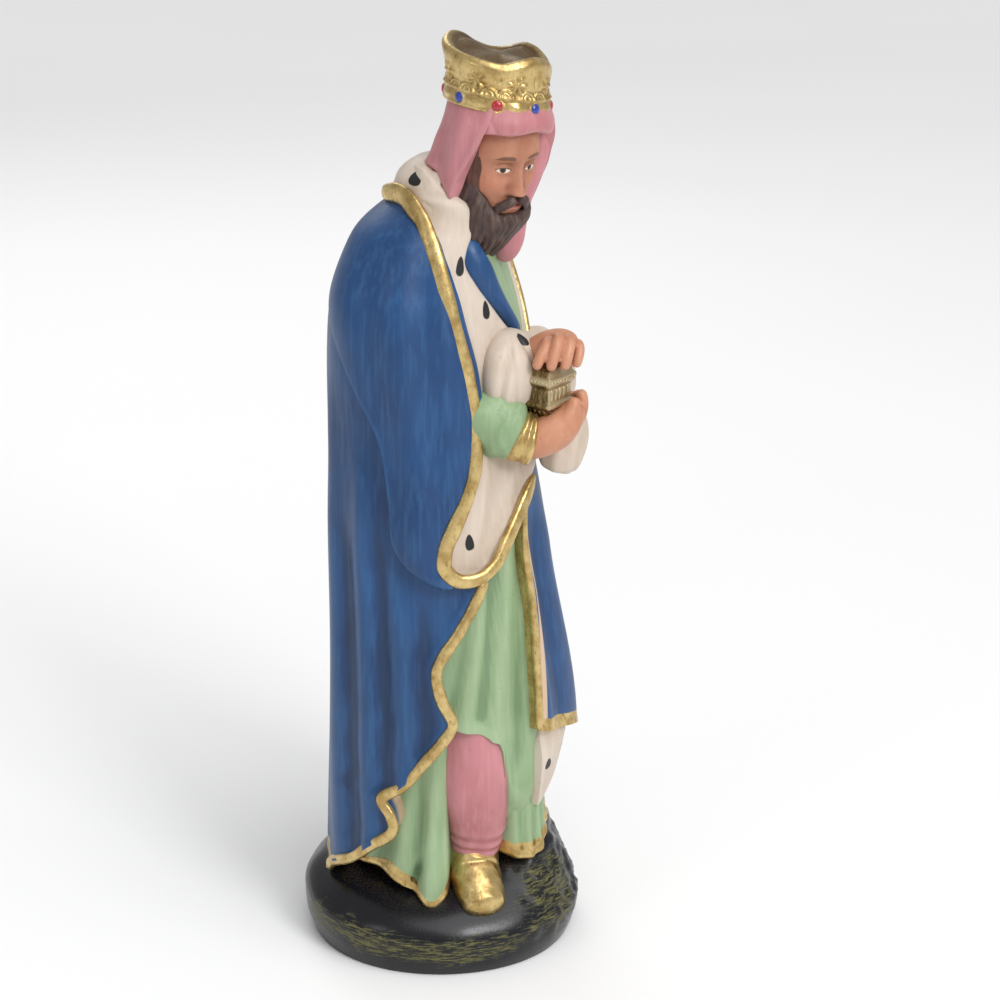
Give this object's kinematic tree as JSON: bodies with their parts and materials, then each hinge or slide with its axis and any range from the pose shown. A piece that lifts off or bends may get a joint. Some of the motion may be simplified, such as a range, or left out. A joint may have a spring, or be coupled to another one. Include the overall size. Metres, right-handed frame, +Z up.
{
  "type": "nativity wise man figurine",
  "caption": "Standing cast figurine of a crowned, bearded wise man in a long mantle, holding a small casket, on a round rocky mound.",
  "frame": {"origin": "centre of the round base's underside, on the surface it stands on", "axes": "+Z up; the figure's body faces -Y, with its right hand side towards -X"},
  "size_m": [0.091, 0.0955, 0.3004],
  "materials": {
    "painted_casting": "satin paint over a cast body"
  },
  "bodies": {
    "root": {"wise_man_figurine": "painted_casting"}
  },
  "joints": []
}
